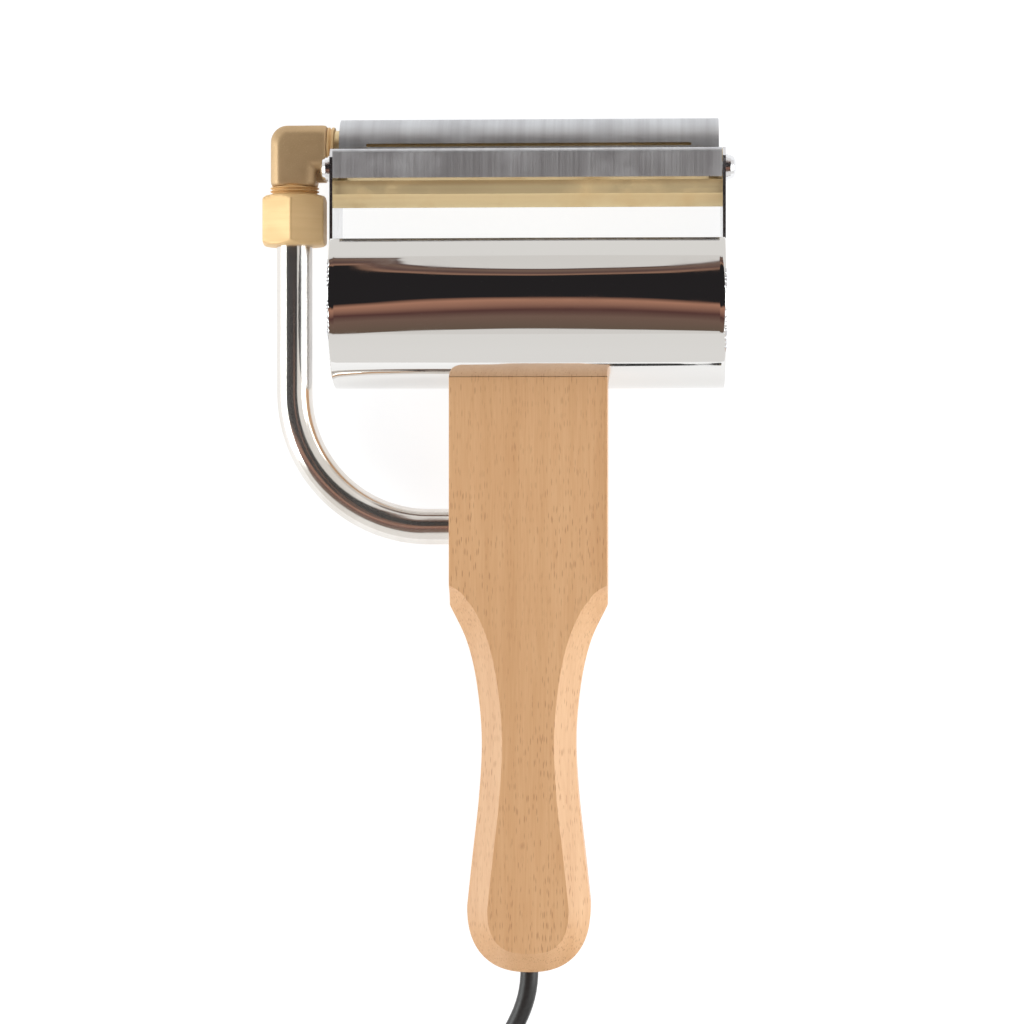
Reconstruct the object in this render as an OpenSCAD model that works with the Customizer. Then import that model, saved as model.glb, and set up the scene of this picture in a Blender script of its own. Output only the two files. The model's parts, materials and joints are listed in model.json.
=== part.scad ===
// Heated uncapping plane for honeycomb: a brass blade bar behind an adjustable depth plate,
// a slotted heat shield, a polished hood, a conduit with its elbow, and a beech handle
// with a mains cord.
// The tool lies on its open side. Y runs from the handle's end to the head, Z points up.
// The origin is on the handle's flat back, under the place where the conduit enters.

/* [Head] */
// Outside width of the head, over the end plates
head_w = 130; // [126:1:134]
// Outside radius of the hood
hood_r = 29; // [28.6:0.1:29.4]
// Wall of the hood
hood_wall = 0.8; // [0.6:0.1:1]
// Thickness of each end plate
plate_t = 1; // [0.8:0.1:1.2]
// Distance from the conduit's entry to the hood's axis
hood_y = 75; // [74.5:0.5:75]

/* [Blade bar] */
// Radius of the bar's round back, which holds the heater
boss_r = 6.2; // [6:0.1:6.3]
// Radius of the heater's bore
heater_bore_r = 4; // [3.9:0.1:4]
// Length of the heater cartridge
heater_len = 90; // [80:5:100]

/* [Heat shield] */
// Outside radius of the rolled shield behind the depth plate
shield_r = 9.7; // [9.4:0.1:9.8]
// Length of the shield's slot
slot_len = 108; // [90:1:112]
// Width of the shield's slot
slot_w = 1.1; // [0.8:0.1:1.5]

/* [Depth plate] */
// Sheet thickness of the depth plate and the shield
sheet_t = 1; // [0.8:0.1:1]
// Radius of the depth screws' pan heads
screw_head_r = 4; // [3.6:0.1:4.2]

/* [Conduit] */
// Outside diameter of the conduit tube
tube_d = 12; // [11.8:0.1:12]
// Bend radius of the conduit, at its centre line
tube_bend_r = 45; // [44:0.5:45]
// Width of the compression nut across its flats
nut_af = 20.5; // [20:0.5:22]

/* [Handle] */
// Thickness of the handle, which also sets how high the hood's axis stands
handle_t = 28; // [27.8:0.1:28]
// Half of the width of the handle's block
block_half_w = 26.2; // [25.5:0.1:27]
// Width of the chamfer along the grip's edges
chamfer_w = 6.7; // [5.5:0.1:7]

/* [Cord] */
// Diameter of the mains cord
cord_d = 6; // [6:0.5:6]

/* [Hidden] */
$fn = 64;

half_w = head_w / 2;
inner_w = half_w - plate_t;
axis_z = handle_t / 2;
fit = 0.05;

// The hood's lip, in degrees round its axis from the handle's side
lip_deg = 133;
lip_y = hood_y - hood_r * cos(lip_deg);
lip_z = axis_z + hood_r * sin(lip_deg);

// The depth screws' axis, on which the depth plate swings
pivot_y = 118.2;
pivot_z = 29;
screw_r = 2;
nut_len = 3.2;
washer_t = 0.8;
ear_gap = 0.3;
ear_x = inner_w - ear_gap - sheet_t;

// The depth plate: a flat flange with a short lip bent back along its top, and an ear at each end
flange_z = 38;
flange_low_y = 114.4;
bend_y = 124;
bend_r = 1.6;
lip_len = 3;

// The shield: rolled round the bar's back, from behind the flange to under the bar
shield_half_w = 63;
shield_from = -20;
shield_to = 215;
slot_turn = 1;
spacer_x = 50;

// The heater's axis, shared by the bar's boss and the elbow
heat_y = 126.5;
heater_x = -52;
spigot_r = 4.8;
spigot_bore_r = 3.9;
spigot_tip_x = -54;
collar_t = 2.6;
collar_r = 7.3;

// Dowels that hold the bar between the end plates
dowel_y = 111;
dowel_z = 29;
dowel_r = 1.25;

// The conduit: down from the elbow, round the bend and into the handle's side
tube_x = -78.8;
tube_r = tube_d / 2;
tube_bore_r = 5;
tube_end_x = -10;
bend_x = tube_x + tube_bend_r;
elbow_r = 7.6;
elbow_low_y = 113.8;
thread_r = 8;
thread_low_y = 100;
ring_r = 8.2;
ring_low_y = 110.8;
nut_low_y = 94.1;
tube_top_y = 108;

// The handle's outline, as half widths at distances along it
block_low_y = -26;
bulb_y = -126;
bulb_r = 20.5;
bulb_len = 22;
bulb_power = 2.4;
grip = [[block_half_w, block_low_y], [20.6, -38], [17.3, -52], [15.65, -70],
    [16.5, -89], [18.8, -110], [bulb_r, bulb_y]];
chamfer_top_y = -19.5;
chamfer_run = 3;
chamfer_least = 0.02;
channel_r = 6;
channel_low_y = -124;
cord_hole_r = cord_d / 2 + 0.15;
handle_low_y = bulb_y - bulb_len;
handle_screw_x = 16;

// Wires lie in a triangle about the conduit's centre line
wire_r = 0.9;
wire_ring = 2.2;
elbow_bend_r = 7;
handle_bend_r = 9;
wire_end_y = -120;
splice_y = -66;

// The cord's route, from inside the handle to the coil, at the cord's centre
cord_r = cord_d / 2;
lead = [[0, -120, 14], [0, -134, 14], [0, -148, 14], [-0.6, -155, 13.8], [-2.2, -161, 13],
    [-4.8, -167, 11.4], [-8, -173, 9.2], [-12, -181, 6.5], [-16, -190, 4.4], [-20, -201, 3.2],
    [-23, -212, 3], [-24.5, -222, 3], [-24.5, -230, 3]];
coil_x = 16.5;
coil_y = -230;
coil_in_r = 26;
coil_out_r = 44;
coil_h = 18;
tail = [[16.5, -271, 15], [26, -271, 14], [36, -271, 11.5], [46, -271, 9], [54, -270, 7.2],
    [62, -266.5, 6.2], [68.5, -261.5, 6], [73.5, -255, 6], [77, -247, 6], [78, -237, 6]];

// The plug lies beside the coil, with its blades pointing towards the head
plug_x = 78;
plug_y = -237;
plug_w = 25;
plug_h = 23;
plug_len = 34;

// ---- shapes ----

// Carries a flat outline of Y and Z values along X
module along_x(x0, x1) {
    translate([x0, 0, 0]) rotate([90, 0, 90]) linear_extrude(x1 - x0) children();
}

// A round bar along X
module rod_x(x0, x1, y, z, r) {
    translate([x0, y, z]) rotate([0, 90, 0]) cylinder(r = r, h = x1 - x0);
}

// A round bar along Y
module rod_y(y0, y1, x, z, r) {
    translate([x, y1, z]) rotate([90, 0, 0]) cylinder(r = r, h = y1 - y0);
}

// A quarter of a ring of round section, lying flat, from the angle start
module quarter_bend(x, y, z, bend, r, start) {
    translate([x, y, z]) rotate([0, 0, start]) rotate_extrude(angle = 90)
        translate([bend, 0]) circle(r);
}

// A hexagon prism along Y with two flats facing along X
module hex_y(y0, y1, x, z, across) {
    translate([x, y1, z]) rotate([90, 0, 0]) rotate([0, 0, 30])
        cylinder(r = across / sqrt(3), h = y1 - y0, $fn = 6);
}

// ---- head ----

module hood_shell() {
    color([0.86, 0.86, 0.87]) difference() {
        along_x(-half_w, half_w) intersection() {
            translate([hood_y, axis_z]) difference() {
                circle(hood_r, $fn = 128);
                circle(hood_r - hood_wall, $fn = 128);
            }
            polygon([[hood_y, axis_z], [lip_y, lip_z], [lip_y, 60], [0, 60], [0, 0],
                [hood_y - 10, 0]]);
        }
        for (side = [-1, 1]) rod_y(hood_y - hood_r - 2, hood_y - hood_r + 4,
            side * handle_screw_x, axis_z, screw_r);
    }
}

// End plate: a disc inside the hood, cut flat at the back, with an arm up to the blade bar
module side_plate_outline() {
    difference() {
        union() {
            intersection() {
                translate([hood_y, axis_z]) circle(hood_r - hood_wall, $fn = 128);
                translate([0, 0]) square([150, 60]);
            }
            polygon([[hood_y, 0], [115, 0], [120, 7], [124.5, 20], [124.5, 32.5], [121.5, 35.1],
                [lip_y, 35.1], [hood_y, 35.1]]);
        }
        translate([heat_y, axis_z]) circle(boss_r + fit);
        translate([pivot_y, pivot_z]) circle(screw_r + fit);
        translate([dowel_y, dowel_z]) circle(dowel_r + fit);
    }
}

module left_side_plate() {
    color([0.75, 0.75, 0.76]) along_x(-half_w, -inner_w) side_plate_outline();
}

module right_side_plate() {
    color([0.75, 0.75, 0.76]) along_x(inner_w, half_w) side_plate_outline();
}

// Section of the flange, its rounded bend and the lip
module depth_plate_outline() {
    translate([flange_low_y, flange_z - sheet_t])
        square([bend_y - bend_r - flange_low_y, sheet_t]);
    translate([bend_y - bend_r, flange_z - bend_r]) intersection() {
        difference() {
            circle(bend_r);
            circle(bend_r - sheet_t);
        }
        square(bend_r);
    }
    translate([bend_y - sheet_t, flange_z - bend_r - lip_len]) square([sheet_t, lip_len]);
}

module depth_plate() {
    color([0.5, 0.5, 0.51]) difference() {
        union() {
            along_x(-ear_x - sheet_t, ear_x + sheet_t) depth_plate_outline();
            for (x = [-ear_x - sheet_t, ear_x]) along_x(x, x + sheet_t)
                polygon([[flange_low_y, flange_z - sheet_t], [122.4, flange_z - sheet_t],
                    [123.4, 34], [123.2, 26], [120.8, 24], [116.8, 24.6], [115.4, 28],
                    [115.4, 34.5]]);
        }
        rod_x(-half_w, half_w, pivot_y, pivot_z, screw_r + fit);
    }
}

// Direction across the heater's axis, in degrees from Z towards Y
function across(a, r) = [r * sin(a), r * cos(a)];

module shield_slot() {
    beyond = 5;
    translate([0, heat_y, axis_z]) rotate([-slot_turn, 0, 0]) linear_extrude(shield_r + beyond) {
        square([slot_len - slot_w, slot_w], center = true);
        for (side = [-1, 1]) translate([side * (slot_len - slot_w) / 2, 0]) circle(slot_w / 2);
    }
}

module heater_shield() {
    color([0.5, 0.5, 0.51]) difference() {
        along_x(-shield_half_w, shield_half_w) translate([heat_y, axis_z]) intersection() {
            difference() {
                circle(shield_r, $fn = 96);
                circle(shield_r - sheet_t, $fn = 96);
            }
            polygon(concat([[0, 0]], [for (k = [0:5])
                across(shield_from + (shield_to - shield_from) * k / 5, 2 * shield_r)]));
        }
        shield_slot();
    }
}

// Blocks between the bar's back and the shield
module shield_spacers() {
    long = 8;
    high = 6;
    color([0.8, 0.68, 0.46]) for (side = [-1, 1]) intersection() {
        translate([side * spacer_x - long / 2, heat_y, axis_z - high / 2])
            cube([long, shield_r, high]);
        difference() {
            rod_x(-half_w, half_w, heat_y, axis_z, shield_r - sheet_t);
            rod_x(-half_w - 1, half_w + 1, heat_y, axis_z, boss_r);
        }
    }
}

// Pan-head screw along X, head outwards; side is -1 on the left and 1 on the right
module depth_screw(side) {
    shank = 10;
    head_t = 2.5;
    seat = half_w + washer_t;
    color([0.8, 0.8, 0.82]) translate([0, pivot_y, pivot_z]) mirror([side < 0 ? 1 : 0, 0, 0]) {
        translate([seat, 0, 0]) rotate([0, -90, 0]) cylinder(r = screw_r, h = shank);
        difference() {
            translate([seat, 0, 0]) rotate([0, 90, 0]) rotate_extrude()
                polygon([[0, 0], [screw_head_r, 0], [screw_head_r, 0.9], [3.5, 1.9], [2.3, head_t],
                    [0, head_t]]);
            translate([seat + head_t, 0, 0]) cube([2.6, 1, 4.4], center = true);
            translate([seat + head_t, 0, 0]) cube([2.6, 4.4, 1], center = true);
        }
    }
}

module left_depth_screw() { depth_screw(-1); }

module right_depth_screw() { depth_screw(1); }

module depth_screw_washers() {
    color([0.85, 0.85, 0.86]) for (x = [-half_w - washer_t, half_w]) difference() {
        rod_x(x, x + washer_t, pivot_y, pivot_z, 4.4);
        rod_x(x - 1, x + 2, pivot_y, pivot_z, screw_r + fit);
    }
}

module depth_screw_nuts() {
    nut_r = 7 / sqrt(3);
    color([0.7, 0.7, 0.72]) for (x = [-ear_x, ear_x - nut_len]) difference() {
        translate([x, pivot_y, pivot_z]) rotate([0, 90, 0]) cylinder(r = nut_r, h = nut_len, $fn = 6);
        rod_x(x - 1, x + nut_len + 1, pivot_y, pivot_z, screw_r + fit);
    }
}

// Bar: a round back that holds the heater, a web, and a nose with two facets
module brass_blade_bar() {
    color([0.84, 0.72, 0.5]) difference() {
        union() {
            rod_x(-half_w, inner_w - 1, heat_y, axis_z, boss_r);
            along_x(-inner_w, inner_w) polygon([[113.9, 33.5], [109.4, 33.5], [105.2, 30],
                [106.5, 27.5], [120.8, 12], [heat_y, axis_z], [123, 17.5], [113.9, 26]]);
        }
        rod_x(heater_x, heater_x + heater_len + 2, heat_y, axis_z, heater_bore_r);
        rod_x(-half_w - 1, heater_x, heat_y, axis_z, spigot_r + fit);
        for (side = [-1, 1]) rod_x(side * 61 - 4.5, side * 61 + 4.5, dowel_y, dowel_z, dowel_r + fit);
    }
}

module blade_dowel_pins() {
    color([0.75, 0.75, 0.76]) {
        rod_x(-half_w, -57, dowel_y, dowel_z, dowel_r);
        rod_x(57, half_w, dowel_y, dowel_z, dowel_r);
    }
}

module cartridge_heater() {
    color([0.6, 0.6, 0.62])
        rod_x(heater_x + 3, heater_x + 3 + heater_len - 2, heat_y, axis_z, heater_bore_r - fit);
}

// The three wire places, as an in-plane offset and a height
function wire_place(i) = [wire_ring * sin(120 * i), wire_ring * cos(120 * i)];

module heater_bush() {
    color([0.95, 0.93, 0.88]) difference() {
        rod_x(heater_x, heater_x + 3, heat_y, axis_z, heater_bore_r - fit);
        for (i = [0:2]) rod_x(heater_x - 1, heater_x + 4, heat_y - wire_place(i)[0],
            axis_z + wire_place(i)[1], wire_r + fit);
    }
}

// ---- conduit ----

// Forged elbow: two square legs with cut corners, a spigot into the bar and a thread below
module elbow_leg_outline() {
    cut = 2.2;
    intersection() {
        square(2 * elbow_r, center = true);
        rotate(45) square(2 * elbow_r * sqrt(2) - 2 * cut, center = true);
    }
}

module brass_elbow() {
    right_x = -half_w - collar_t;
    color([0.72, 0.56, 0.36]) difference() {
        union() {
            intersection() {
                union() {
                    translate([tube_x - elbow_r, heat_y, axis_z]) rotate([90, 0, 90])
                        linear_extrude(right_x - tube_x + elbow_r) elbow_leg_outline();
                    translate([tube_x, heat_y + elbow_r, axis_z]) rotate([90, 0, 0])
                        linear_extrude(heat_y + elbow_r - elbow_low_y) elbow_leg_outline();
                }
                translate([0, 0, -20]) linear_extrude(80) polygon([[tube_x - elbow_r, 100],
                    [tube_x - elbow_r, heat_y + elbow_r - 3], [tube_x - elbow_r + 3, heat_y + elbow_r],
                    [-50, heat_y + elbow_r], [-50, 100]]);
            }
            translate([tube_x + elbow_r - 1, heat_y - elbow_r - 2.6, axis_z - 2])
                cube([3.8, 3.6, 4]);
            rod_x(right_x, spigot_tip_x, heat_y, axis_z, spigot_r);
            rod_y(ring_low_y, elbow_low_y, tube_x, axis_z, ring_r);
            rod_y(thread_low_y, ring_low_y, tube_x, axis_z, thread_r);
        }
        rod_x(tube_x, spigot_tip_x + 1, heat_y, axis_z, spigot_bore_r);
        rod_y(tube_top_y, heat_y, tube_x, axis_z, tube_bore_r);
        rod_y(thread_low_y - 1, tube_top_y, tube_x, axis_z, tube_r + fit);
        translate([tube_x, heat_y, axis_z]) sphere(tube_bore_r);
    }
}

module elbow_collar() {
    color([0.85, 0.68, 0.4]) difference() {
        rod_x(-half_w - collar_t, -half_w, heat_y, axis_z, collar_r);
        rod_x(-half_w - collar_t - 1, -half_w + 1, heat_y, axis_z, spigot_r + fit);
    }
}

module compression_nut() {
    corner_r = nut_af / sqrt(3);
    chamfer = 1.4;
    color([0.8, 0.62, 0.34]) difference() {
        intersection() {
            hex_y(nut_low_y, ring_low_y, tube_x, axis_z, nut_af);
            translate([tube_x, nut_low_y, axis_z]) rotate([-90, 0, 0]) rotate_extrude()
                polygon([[0, 0], [corner_r - chamfer, 0], [corner_r + 0.1, chamfer],
                    [corner_r + 0.1, ring_low_y - nut_low_y - chamfer],
                    [corner_r - chamfer, ring_low_y - nut_low_y], [0, ring_low_y - nut_low_y]]);
        }
        rod_y(nut_low_y - 1, thread_low_y, tube_x, axis_z, tube_r + fit);
        rod_y(nut_low_y + 3, ring_low_y + 1, tube_x, axis_z, thread_r + fit);
    }
}

module compression_ferrule() {
    color([0.85, 0.7, 0.42]) difference() {
        rod_y(nut_low_y + 3.1, thread_low_y - 0.1, tube_x, axis_z, 7.4);
        rod_y(nut_low_y, thread_low_y + 1, tube_x, axis_z, tube_r + fit);
    }
}

module conduit_tube() {
    color([0.72, 0.71, 0.7]) difference() {
        union() {
            rod_y(tube_bend_r, tube_top_y, tube_x, axis_z, tube_r);
            quarter_bend(bend_x, tube_bend_r, axis_z, tube_bend_r, tube_r, 180);
            rod_x(bend_x, tube_end_x, 0, axis_z, tube_r);
        }
        rod_y(tube_bend_r, tube_top_y + 1, tube_x, axis_z, tube_bore_r);
        quarter_bend(bend_x, tube_bend_r, axis_z, tube_bend_r, tube_bore_r, 180);
        rod_x(bend_x, tube_end_x + 1, 0, axis_z, tube_bore_r);
    }
}

// ---- handle ----

// A smooth curve through stations, as a Catmull-Rom spline
function spline_point(p, q, r, s, t) = 0.5 * ((2 * q) + (r - p) * t
    + (2 * p - 5 * q + 4 * r - s) * t * t + (3 * q - p - 3 * r + s) * t * t * t);
function station(list, i) = i < 0 ? 2 * list[0] - list[1]
    : i >= len(list) ? [list[len(list) - 2][0], 2 * list[len(list) - 1][1] - list[len(list) - 2][1]]
    : list[i];
function spline(list, steps) = [for (i = [0:len(list) - 2], k = [0:steps - 1])
    spline_point(station(list, i - 1), list[i], list[i + 1], station(list, i + 2), k / steps)];

// The round end is a superellipse, and the block's side is straight
function bulb_side(steps) = [for (k = [0:steps - 1]) let (a = 90 * k / steps)
    [bulb_r * pow(cos(a), 2 / bulb_power), bulb_y - bulb_len * pow(sin(a), 2 / bulb_power)]];
function block_side() = [for (y = [60, 0, chamfer_top_y, chamfer_top_y - 0.8, -21.5, -23, -24.5])
    [block_half_w, y]];
function grip_side() = concat(block_side(), spline(grip, 5), bulb_side(14));
function grip_outline() = let (side = grip_side(), n = len(side))
    concat(side, [[0, handle_low_y]], [for (i = [n - 1:-1:0]) [-side[i][0], side[i][1]]]);

function chamfer_at(y) = y >= chamfer_top_y ? chamfer_least
    : chamfer_w * (1 - exp((y - chamfer_top_y) / chamfer_run)) + chamfer_least;
function inward(list, i) = let (n = len(list), d = list[min(i + 2, n - 1)] - list[max(i - 2, 0)])
    [d[1], -d[0]] / norm(d);

// Rings of the handle: back edge, two side edges and front edge, all along one outline
module grip_block() {
    list = grip_outline();
    n = len(list);
    edge = [for (i = [0:n - 1]) list[i] + inward(list, i) * chamfer_at(list[i][1])];
    points = concat(
        [for (i = [0:n - 1]) [edge[i][0], edge[i][1], 0]],
        [for (i = [0:n - 1]) [list[i][0], list[i][1], chamfer_at(list[i][1])]],
        [for (i = [0:n - 1]) [list[i][0], list[i][1], handle_t - chamfer_at(list[i][1])]],
        [for (i = [0:n - 1]) [edge[i][0], edge[i][1], handle_t]]);
    faces = concat(
        [for (i = [0:(n - 3) / 2]) [i, i + 1, n - 1 - i]],
        [for (i = [0:(n - 5) / 2]) [i + 1, n - 2 - i, n - 1 - i]],
        [for (k = [0:2], i = [0:n - 1]) let (j = (i + 1) % n)
            [k * n + i, (k + 1) * n + i, (k + 1) * n + j]],
        [for (k = [0:2], i = [0:n - 1]) let (j = (i + 1) % n)
            [k * n + i, (k + 1) * n + j, k * n + j]],
        [for (i = [0:(n - 3) / 2]) [3 * n + i, 4 * n - 1 - i, 3 * n + i + 1]],
        [for (i = [0:(n - 5) / 2]) [3 * n + i + 1, 4 * n - 1 - i, 4 * n - 2 - i]]);
    polyhedron(points, faces);
}

module handle() {
    pilot_low_y = 22;
    color([0.87, 0.68, 0.47]) difference() {
        grip_block();
        rod_x(-half_w, half_w, hood_y, axis_z, hood_r + fit);
        rod_x(-30, 0, 0, axis_z, tube_r + fit);
        rod_y(channel_low_y, 60, 0, axis_z, channel_r);
        rod_y(handle_low_y - 1, channel_low_y + 1, 0, axis_z, cord_hole_r);
        for (side = [-1, 1]) rod_y(pilot_low_y, 60, side * handle_screw_x, axis_z, screw_r);
    }
}

module handle_screws() {
    screw_low_y = 23;
    head_t = 2;
    top = hood_y - hood_r + hood_wall + 0.6;
    color([0.78, 0.78, 0.8]) for (side = [-1, 1]) {
        rod_y(screw_low_y, top, side * handle_screw_x, axis_z, screw_r - fit);
        rod_y(top, top + head_t, side * handle_screw_x, axis_z, 3.6);
    }
}

// ---- wiring ----

// Points along a level arc, from one angle to another
function arc_points(x, y, z, r, from, to, steps) = [for (k = [0:steps])
    let (a = from + (to - from) * k / steps) [x + r * cos(a), y + r * sin(a), z]];

// A wire from the heater through the elbow, the conduit and the handle to the cord's jacket
module wire(i, first_x) {
    u = wire_place(i)[0];
    z = axis_z + wire_place(i)[1];
    swept_tube(concat([[first_x, heat_y - u, z]],
        arc_points(tube_x + elbow_bend_r, heat_y - elbow_bend_r, z, elbow_bend_r - u, 90, 180, 6),
        arc_points(bend_x, tube_bend_r, z, tube_bend_r - u, 180, 270, 10),
        arc_points(-handle_bend_r, -handle_bend_r, z, handle_bend_r + u, 90, 0, 6),
        [[u, wire_end_y, z]]), wire_r);
}

module live_wire() { color([0.5, 0.3, 0.2]) wire(0, heater_x + 3); }

module neutral_wire() { color([0.2, 0.3, 0.7]) wire(1, heater_x + 3); }

module earth_wire() { color([0.4, 0.6, 0.2]) wire(2, heater_x + 3); }

module splice_sleeves() {
    color([0.9, 0.9, 0.85]) for (i = [0:2]) difference() {
        rod_y(splice_y - 8, splice_y + 8, wire_place(i)[0], axis_z + wire_place(i)[1], 1.7);
        rod_y(splice_y - 9, splice_y + 9, wire_place(i)[0], axis_z + wire_place(i)[1], wire_r + fit);
    }
}

module cord_stop_collar() {
    color([0.7, 0.7, 0.7]) difference() {
        rod_y(channel_low_y, channel_low_y + 4, 0, axis_z, channel_r - fit);
        rod_y(channel_low_y - 1, channel_low_y + 5, 0, axis_z, cord_r + fit);
    }
}

// ---- cord ----

// A tube of 8 sides swept along points, its rings square to the path
function path_dir(path, i) = let (d = path[min(i + 1, len(path) - 1)] - path[max(i - 1, 0)]) d / norm(d);
function ring_side(d) = cross(d, [0, 0, 1]) / norm(cross(d, [0, 0, 1]));
module swept_tube(path, r) {
    sides = 8;
    n = len(path);
    points = [for (i = [0:n - 1]) let (d = path_dir(path, i), a = ring_side(d), b = cross(a, d))
        for (k = [0:sides - 1]) path[i] + r * (cos(360 * k / sides) * a + sin(360 * k / sides) * b)];
    faces = concat(
        [[for (k = [sides - 1:-1:0]) k]],
        [for (i = [0:n - 2], k = [0:sides - 1]) let (m = (k + 1) % sides)
            [i * sides + k, i * sides + m, (i + 1) * sides + m]],
        [for (i = [0:n - 2], k = [0:sides - 1]) let (m = (k + 1) % sides)
            [i * sides + k, (i + 1) * sides + m, (i + 1) * sides + k]],
        [[for (k = [0:sides - 1]) (n - 1) * sides + k]]);
    polyhedron(points, faces);
}

module power_cord_lead() { color([0.1, 0.1, 0.1]) swept_tube(lead, cord_r); }

module power_cord_tail() { color([0.1, 0.1, 0.1]) swept_tube(tail, cord_r); }

module power_cord_coil() {
    color([0.1, 0.1, 0.1]) translate([coil_x, coil_y, 0]) rotate_extrude()
        translate([coil_in_r, 0]) square([coil_out_r - coil_in_r, coil_h]);
}

// A strap round the coil's turns
module coil_tie() {
    strap = 1;
    color([0.2, 0.2, 0.2]) translate([coil_x, coil_y - coil_in_r - 9, coil_h / 2]) difference() {
        translate([0, 0, strap / 2]) cube([8, 18 + 2 * strap, coil_h + strap], center = true);
        cube([10, 18, coil_h], center = true);
    }
}

module plug_body() {
    nose = 14;
    color([0.12, 0.12, 0.12]) {
        translate([plug_x - plug_w / 2, plug_y + nose, 0]) cube([plug_w, plug_len - nose, plug_h]);
        rod_y(plug_y, plug_y + nose, plug_x, 6, 5.5);
    }
}

module plug_blades() {
    color([0.8, 0.8, 0.8]) for (side = [-1, 1])
        translate([plug_x + side * 6.35 - 0.75, plug_y + plug_len, 12]) cube([1.5, 17, 6.3]);
}

module plug_earth_pin() {
    color([0.8, 0.8, 0.8]) rod_y(plug_y + plug_len, plug_y + plug_len + 20, plug_x, 5, 2.4);
}

hood_shell();
left_side_plate();
right_side_plate();
depth_plate();
heater_shield();
shield_spacers();
left_depth_screw();
right_depth_screw();
depth_screw_washers();
depth_screw_nuts();
brass_blade_bar();
blade_dowel_pins();
cartridge_heater();
heater_bush();
brass_elbow();
elbow_collar();
compression_nut();
compression_ferrule();
conduit_tube();
handle();
handle_screws();
live_wire();
neutral_wire();
earth_wire();
splice_sleeves();
cord_stop_collar();
power_cord_lead();
power_cord_coil();
power_cord_tail();
coil_tie();
plug_body();
plug_blades();
plug_earth_pin();
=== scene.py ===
import json
import math

import bmesh
import bpy
import numpy as np
from mathutils import Matrix, Vector


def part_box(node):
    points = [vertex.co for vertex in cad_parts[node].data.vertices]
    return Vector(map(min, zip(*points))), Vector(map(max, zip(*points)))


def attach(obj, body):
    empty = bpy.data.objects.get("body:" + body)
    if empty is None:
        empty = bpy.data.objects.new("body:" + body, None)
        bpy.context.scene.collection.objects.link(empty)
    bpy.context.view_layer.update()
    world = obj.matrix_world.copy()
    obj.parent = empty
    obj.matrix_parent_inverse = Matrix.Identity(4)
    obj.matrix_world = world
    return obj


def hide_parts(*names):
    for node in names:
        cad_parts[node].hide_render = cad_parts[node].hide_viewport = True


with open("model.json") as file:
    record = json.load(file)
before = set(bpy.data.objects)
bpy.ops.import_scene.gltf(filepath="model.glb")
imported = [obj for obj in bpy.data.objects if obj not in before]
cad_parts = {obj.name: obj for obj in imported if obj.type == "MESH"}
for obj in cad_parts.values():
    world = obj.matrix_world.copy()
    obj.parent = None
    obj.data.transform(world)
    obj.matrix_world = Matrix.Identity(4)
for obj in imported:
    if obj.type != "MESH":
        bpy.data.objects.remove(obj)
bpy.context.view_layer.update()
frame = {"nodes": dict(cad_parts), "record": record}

bl_info = {
    "name": "Heated Uncapping Plane",
    "version": (1, 0, 0),
    "blender": (4, 5, 0),
    "location": "3D View > Sidebar > Plane",
    "description": "Builds the looks of a heated uncapping plane round its CAD frame",
    "category": "Add Mesh",
}

MM = 0.001
AXIS_Z = 0.014
HOOD_Y = 0.075
HOOD_R = 0.029
HEAT_Y = 0.1265
TUBE_X = -0.0788
LEAD_ROUTE = [(0, -120, 14), (0, -134, 14), (0, -148, 14), (-0.6, -155, 13.8), (-2.2, -161, 13),
              (-4.8, -167, 11.4), (-8, -173, 9.2), (-12, -181, 6.5), (-16, -190, 4.4),
              (-20, -201, 3.2), (-23, -212, 3), (-24.5, -222, 3), (-24.5, -230, 3)]
TAIL_ROUTE = [(16.5, -271, 15), (26, -271, 14), (36, -271, 11.5), (46, -271, 9), (54, -270, 7.2),
              (62, -266.5, 6.2), (68.5, -261.5, 6), (73.5, -255, 6), (77, -247, 6), (78, -237, 6)]


# ---- sizes and colours that a user would change ----

class CameraSettings(bpy.types.PropertyGroup):
    """Where the camera stands"""

    height: bpy.props.FloatProperty(name="Height", description="Height of the camera over the tool",
                                    default=1.036, min=0.5, unit="LENGTH")
    lens: bpy.props.FloatProperty(name="Lens", description="Focal length in millimetres",
                                  default=107.5, min=20)
    side: bpy.props.FloatProperty(name="Side", description="How far right of the tool the camera is",
                                  default=0.0386, unit="LENGTH")
    floor: bpy.props.FloatVectorProperty(name="Floor", description="Colour of the floor",
                                         subtype="COLOR", default=(0.25, 0.25, 0.25), size=3)


class CordSettings(bpy.types.PropertyGroup):
    """The mains cord"""

    diameter: bpy.props.FloatProperty(name="Diameter", description="Thickness of the cord",
                                      default=0.006, unit="LENGTH")
    turn_step: bpy.props.FloatProperty(name="Turn step", description="Distance between turns",
                                       default=0.006, unit="LENGTH")
    colour: bpy.props.FloatVectorProperty(name="Sheath", description="Colour of the sheath",
                                          subtype="COLOR", default=(0.012, 0.011, 0.011), size=3)


class WoodSettings(bpy.types.PropertyGroup):
    """The beech handle"""

    light: bpy.props.FloatVectorProperty(name="Light wood", description="Colour between the rings",
                                         subtype="COLOR", default=(0.74, 0.45, 0.24), size=3)
    dark: bpy.props.FloatVectorProperty(name="Dark wood", description="Colour of the rings",
                                        subtype="COLOR", default=(0.66, 0.38, 0.19), size=3)
    fleck: bpy.props.FloatVectorProperty(name="Fleck", description="Colour of the flecks",
                                         subtype="COLOR", default=(0.36, 0.16, 0.07), size=3)
    edge: bpy.props.FloatProperty(name="Edge", description="Rounding of the chamfers' edges",
                                  default=0.0006, unit="LENGTH")


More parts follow.
